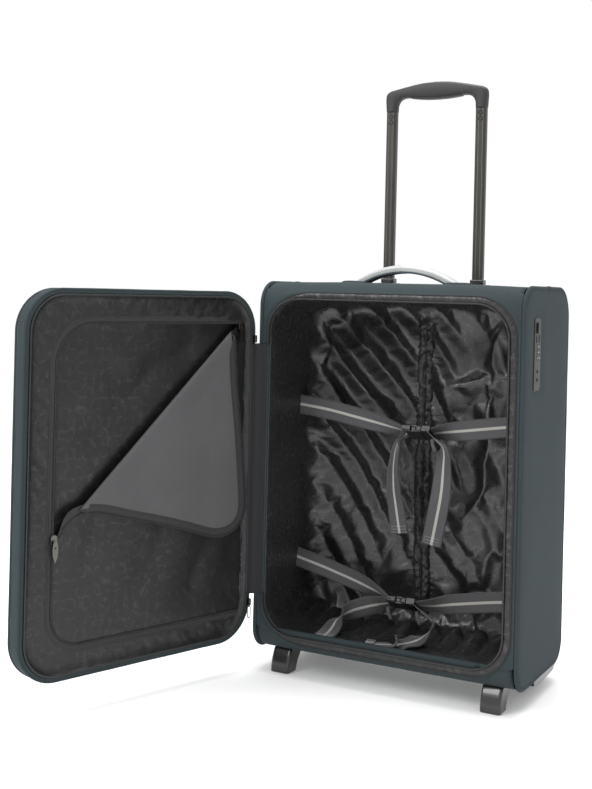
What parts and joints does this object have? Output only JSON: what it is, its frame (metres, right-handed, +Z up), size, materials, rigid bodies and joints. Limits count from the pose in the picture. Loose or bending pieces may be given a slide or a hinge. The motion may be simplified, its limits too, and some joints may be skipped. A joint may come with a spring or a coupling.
{
  "type": "softside upright suitcase",
  "caption": "Softside upright cabin suitcase with its lid swung open, packing straps, a telescopic trolley handle, corner wheels, front feet and a side combination lock.",
  "frame": {"origin": "on the floor under the middle of the body's footprint", "axes": "+Z up, +X to the right seen from the front, +Y to the back"},
  "size_m": [0.5067, 0.5394, 0.8045],
  "materials": {
    "outer_fabric": "woven slate blue-grey polyester, faint sheen",
    "board": "grey board",
    "frame_wire": "spring steel wire",
    "zip_tape": "black zip tape",
    "lining": "black satin lining with a tonal weave",
    "flap_lining": "grey reverse of the lining",
    "carry_silver": "pale silver-grey moulding",
    "black_plastic": "glossy black moulding",
    "grip_plastic": "dark grey soft-touch moulding",
    "tube_metal": "gunmetal anodised, fine lengthwise grain",
    "steel": "plain steel",
    "rubber": "black rubber",
    "lock_metal": "gunmetal lacquer",
    "dial": "black dial with pale numbers",
    "webbing": "dark grey webbing with a pale centre stripe",
    "buckle_plastic": "black acetal",
    "zip_metal": "pewter plating"
  },
  "bodies": {
    "main_body": {"wrap_panel": "outer_fabric", "side_panels": "outer_fabric", "side_piping": "outer_fabric", "stiffening_boards": "board", "front_wire_frame": "frame_wire", "body_zip": "zip_tape", "body_lining": "lining", "back_lining_zip": "zip_tape", "hinge_strip": "zip_tape", "carry_handle_grip": "carry_silver", "carry_handle_strap": "outer_fabric", "handle_bezels": "black_plastic", "outer_tubes": "tube_metal", "tube_base_bracket": "black_plastic", "wheel_housings": "black_plastic", "wheel_axles": "steel", "base_screws": "steel", "feet": "black_plastic", "lock_housing": "lock_metal", "left_straps": "webbing", "upper_right_strap": "webbing", "lower_right_strap": "webbing", "upper_buckle_socket": "buckle_plastic", "lower_buckle_socket": "buckle_plastic"},
    "lid": {"lid_outer_panel": "outer_fabric", "lid_piping": "outer_fabric", "lid_board": "board", "lid_wire_frame": "frame_wire", "lid_zip": "zip_tape", "lid_lining": "lining", "pocket_panel": "lining", "pocket_flap": "flap_lining", "pocket_zip": "zip_tape", "parked_sliders": "zip_metal", "outer_pocket": "outer_fabric", "outer_pocket_zip": "zip_tape"},
    "pocket_slider": {"pocket_slider_left": "zip_metal"},
    "pocket_pull_lower": {"pocket_pull_left": "zip_metal"},
    "pocket_pull_upper": {"pocket_pull_top": "zip_metal"},
    "main_zip_pull": {"main_pull": "zip_metal"},
    "outer_zip_pull": {"outer_pocket_pull": "zip_metal"},
    "mid_stage": {"mid_tubes": "tube_metal", "mid_collars": "black_plastic"},
    "upper_stage": {"inner_tubes": "tube_metal", "handle_grip": "grip_plastic", "grip_rivets": "steel"},
    "release": {"release_bar": "grip_plastic", "pull_rods": "steel"},
    "wheel_left": {"wheel_hub_left": "black_plastic", "tyre_left": "rubber"},
    "wheel_right": {"wheel_hub_right": "black_plastic", "tyre_right": "rubber"},
    "dial_1": {"lock_dial_1": "dial"},
    "dial_2": {"lock_dial_2": "dial"},
    "dial_3": {"lock_dial_3": "dial"},
    "lock_button": {"lock_button": "lock_metal"},
    "upper_clip": {"upper_buckle_clip": "buckle_plastic", "upper_right_tail": "webbing"},
    "lower_clip": {"lower_buckle_clip": "buckle_plastic", "lower_right_tail": "webbing"}
  },
  "joints": [
    {"name": "lid_hinge", "type": "hinge", "parent": "main_body", "child": "lid", "pos_m": [-0.182, -0.097, 0.2765], "axis": [0, 0, -1], "range_deg": [-108.5, 71.5]},
    {"name": "handle_lower_slide", "type": "slide", "parent": "main_body", "child": "mid_stage", "axis": [0, 0, 1], "range_m": [0, 0.24]},
    {"name": "handle_upper_slide", "type": "slide", "parent": "mid_stage", "child": "upper_stage", "axis": [0, 0, 1], "range_m": [-0.233, 0]},
    {"name": "release_squeeze", "type": "slide", "parent": "upper_stage", "child": "release", "axis": [0, 0, 1], "range_m": [0, 0.004], "stiffness_N_per_m": 600, "springref_m": -0.003},
    {"name": "wheel_left_spin", "type": "hinge", "parent": "main_body", "child": "wheel_left", "pos_m": [-0.152, 0.078, 0.024], "axis": [1, 0, 0], "continuous": true},
    {"name": "wheel_right_spin", "type": "hinge", "parent": "main_body", "child": "wheel_right", "pos_m": [0.152, 0.078, 0.024], "axis": [1, 0, 0], "continuous": true},
    {"name": "dial_1_turn", "type": "hinge", "parent": "main_body", "child": "dial_1", "pos_m": [0.1792, -0.048, 0.4485], "axis": [0, 0, 1], "continuous": true},
    {"name": "dial_2_turn", "type": "hinge", "parent": "main_body", "child": "dial_2", "pos_m": [0.1792, -0.048, 0.4415], "axis": [0, 0, 1], "continuous": true},
    {"name": "dial_3_turn", "type": "hinge", "parent": "main_body", "child": "dial_3", "pos_m": [0.1792, -0.048, 0.4345], "axis": [0, 0, 1], "continuous": true},
    {"name": "lock_button_press", "type": "slide", "parent": "main_body", "child": "lock_button", "axis": [-1, 0, 0], "range_m": [0, 0.0015], "stiffness_N_per_m": 400, "springref_m": -0.002},
    {"name": "upper_buckle_release", "type": "slide", "parent": "main_body", "child": "upper_clip", "axis": [1, 0, 0], "range_m": [0, 0.022], "deforming": ["upper_right_strap"]},
    {"name": "lower_buckle_release", "type": "slide", "parent": "main_body", "child": "lower_clip", "axis": [1, 0, 0], "range_m": [0, 0.022], "deforming": ["lower_right_strap"]},
    {"name": "pocket_slider_slide", "type": "slide", "parent": "lid", "child": "pocket_slider", "axis": [0, 0, 1], "range_m": [-0.085, 0]},
    {"name": "pocket_pull_lower_swing", "type": "hinge", "parent": "pocket_slider", "child": "pocket_pull_lower", "pos_m": [-0.28014, -0.39, 0.211], "axis": [-0.3173, -0.9483, 0], "range_deg": [0, 110]},
    {"name": "pocket_pull_upper_swing", "type": "hinge", "parent": "lid", "child": "pocket_pull_upper", "pos_m": [-0.1913, -0.12447, 0.46], "axis": [-0.3173, -0.9483, 0], "range_deg": [0, 110]},
    {"name": "main_pull_swing", "type": "hinge", "parent": "lid", "child": "main_zip_pull", "pos_m": [-0.18359, -0.10522, 0.088], "axis": [-0.3173, -0.9483, 0], "range_deg": [0, 85]},
    {"name": "outer_pull_swing", "type": "hinge", "parent": "lid", "child": "outer_zip_pull", "pos_m": [-0.31744, -0.40251, 0.334], "axis": [0.3173, 0.9483, 0], "range_deg": [0, 110]}
  ]
}
